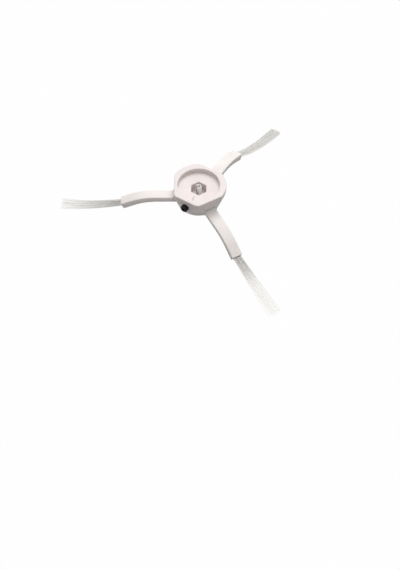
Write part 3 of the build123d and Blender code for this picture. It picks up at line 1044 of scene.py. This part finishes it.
class SIDEBRUSH_OT_tufts(bpy.types.Operator):
    """Builds the filaments of the tufts, each with its own set"""
    bl_idname = "sidebrush.tufts"
    bl_label = "Bristle tufts"

    def execute(self, context):
        settings = context.scene.side_brush
        material = nylon(settings.finish)
        for letter, habit in TUFT_HABITS.items():
            points, along, tone = filament_points(settings.arm, settings.tuft, **habit)
            piece = add_surface("filaments_" + letter, turned(points, ARM_ANGLES[letter]))
            # The clear attribute lifts the painted shade of the nylon along the tuft
            add_values(piece, "clear", np.interp(along, UNSHADED_PLACES, TUFT_UNSHADED_SHARE[letter]))
            add_values(piece, "tone", tone)
            dress(piece, "bristle_tuft_" + letter, material)
        return {"FINISHED"}


class SIDEBRUSH_OT_screws(bpy.types.Operator):
    """Builds the fixing screw and the clamp screw"""
    bl_idname = "sidebrush.screws"
    bl_label = "Screws"

    def execute(self, context):
        settings = context.scene.side_brush
        screw = settings.screw
        points, painted_shade = fixing_screw_points(screw)
        fixing = add_surface("threaded_fixing_screw", points[None])
        # Painted shade of the screw's hollows, as a point attribute for its material
        add_values(fixing, "painted_shade", painted_shade)
        dress(fixing, "fixing_screw", plated_steel(settings.finish))
        upright = clamp_screw_points(screw, settings.hub.screw_flat)
        laid = np.stack([upright[..., 2], upright[..., 1], -upright[..., 0] - screw.clamp_depth], axis=-1)
        clamp = add_surface("black_cap_screw", turned(laid, math.degrees(screw.clamp_angle))[None])
        dress(clamp, "clamp_screw", black_oxide(settings.finish))
        return {"FINISHED"}


def aim(thing, target, up=(0, 0, 1)):
    """Turns a lamp or camera so that its -Z axis points along the target direction."""
    back = -Vector(target).normalized()
    right = Vector(up).cross(back).normalized()
    over = back.cross(right)
    thing.rotation_euler = Matrix((right, over, back)).transposed().to_euler()


class SIDEBRUSH_OT_stage(bpy.types.Operator):
    """Builds the floor, the lamps and the camera"""
    bl_idname = "sidebrush.stage"
    bl_label = "Stage"

    def execute(self, context):
        settings = context.scene.side_brush
        scene = context.scene
        self.add_floor(scene, settings.stage, settings.finish)
        self.add_light(scene, settings.stage)
        self.add_camera(scene, settings.stage)
        scene.view_settings.view_transform = "Standard"
        return {"FINISHED"}

    def add_floor(self, scene, stage, finish):
        """One wide square under the tips of the tufts."""
        half = stage.floor_half
        height = cad_box[0].z - stage.floor_gap
        corners = [(-half, -half, height), (half, -half, height), (half, half, height), (-half, half, height)]
        mesh = bpy.data.meshes.new("floor")
        mesh.from_pydata(corners, [], [(0, 1, 2, 3)])
        mesh.materials.append(floor_paper(finish))
        floor = bpy.data.objects.new("floor", mesh)
        scene.collection.objects.link(floor)

    def add_light(self, scene, stage):
        """A wide soft lamp above and behind, and a weak even light from all round."""
        lamp = bpy.data.lights.new("soft_key", "AREA")
        lamp.shape = "DISK"
        lamp.size = stage.key_size
        lamp.energy = stage.key_power
        key = bpy.data.objects.new("soft_key", lamp)
        key.location = stage.key_place
        aim(key, -key.location)
        scene.collection.objects.link(key)
        world = bpy.data.worlds.new("studio")
        world.use_nodes = True
        nodes = world.node_tree.nodes
        links = world.node_tree.links
        background = nodes["Background"]
        set_inputs(background, {"Color": (1, 1, 1, 1)})
        seen = seen_directly(nodes, links)
        strength = map_range(nodes, links, seen, stage.world_strength, 1.0, 0.0, 1.0)
        links.new(strength, background.inputs["Strength"])
        scene.world = world

    def add_camera(self, scene, stage):
        """Camera at its azimuth and elevation, turned so that the middle of the rim falls on its pixel."""
        camera = bpy.data.cameras.new("camera")
        focal = stage.pixels_at_hub * stage.distance
        camera.sensor_fit = "VERTICAL"
        camera.sensor_height = 36.0
        camera.sensor_width = 36.0
        camera.lens = camera.sensor_height * focal / stage.image_height
        camera.clip_start = 0.01
        camera.clip_end = 20
        view = bpy.data.objects.new("camera", camera)
        flat = math.cos(stage.elevation)
        back = Vector((math.sin(stage.azimuth) * flat, -math.cos(stage.azimuth) * flat,
                       math.sin(stage.elevation)))
        right = Vector((0, 0, 1)).cross(back).normalized()
        over = back.cross(right)
        aside = (stage.hub_x - stage.image_width / 2) / focal
        above = (stage.image_height / 2 - stage.hub_y) / focal
        view.location = back * stage.distance
        aim(view, -back - right * aside - over * above, over)
        scene.collection.objects.link(view)
        scene.camera = view


class SIDEBRUSH_PT_panel(bpy.types.Panel):
    """Sidebar panel with the builders and their settings"""
    bl_idname = "SIDEBRUSH_PT_panel"
    bl_label = "Side brush"
    bl_space_type = "VIEW_3D"
    bl_region_type = "UI"
    bl_category = "Side brush"

    def draw(self, context):
        settings = context.scene.side_brush
        for operator, group in BUILDERS:
            self.layout.operator(operator.bl_idname)
            self.draw_group(getattr(settings, group))
        self.layout.label(text="Finishes")
        self.draw_group(settings.finish)

    def draw_group(self, group):
        for name in group.__annotations__:
            self.layout.prop(group, name)


BUILDERS = (
    (SIDEBRUSH_OT_hub, "hub"), (SIDEBRUSH_OT_arms, "arm"), (SIDEBRUSH_OT_tufts, "tuft"),
    (SIDEBRUSH_OT_screws, "screw"), (SIDEBRUSH_OT_stage, "stage"),
)
CLASSES = (HubSizes, ArmSizes, TuftSizes, ScrewSizes, Finishes, StageSettings, SideBrushSettings,
           *(operator for operator, group in BUILDERS), SIDEBRUSH_PT_panel)


def register():
    for item in CLASSES:
        bpy.utils.register_class(item)
    bpy.types.Scene.side_brush = PointerProperty(type=SideBrushSettings)


def unregister():
    del bpy.types.Scene.side_brush
    for item in reversed(CLASSES):
        bpy.utils.unregister_class(item)


def main():
    """Builds every piece and the stage."""
    register()
    bpy.ops.sidebrush.hub()
    bpy.ops.sidebrush.arms()
    bpy.ops.sidebrush.tufts()
    bpy.ops.sidebrush.screws()
    bpy.ops.sidebrush.stage()


if __name__ == "__main__":
    main()
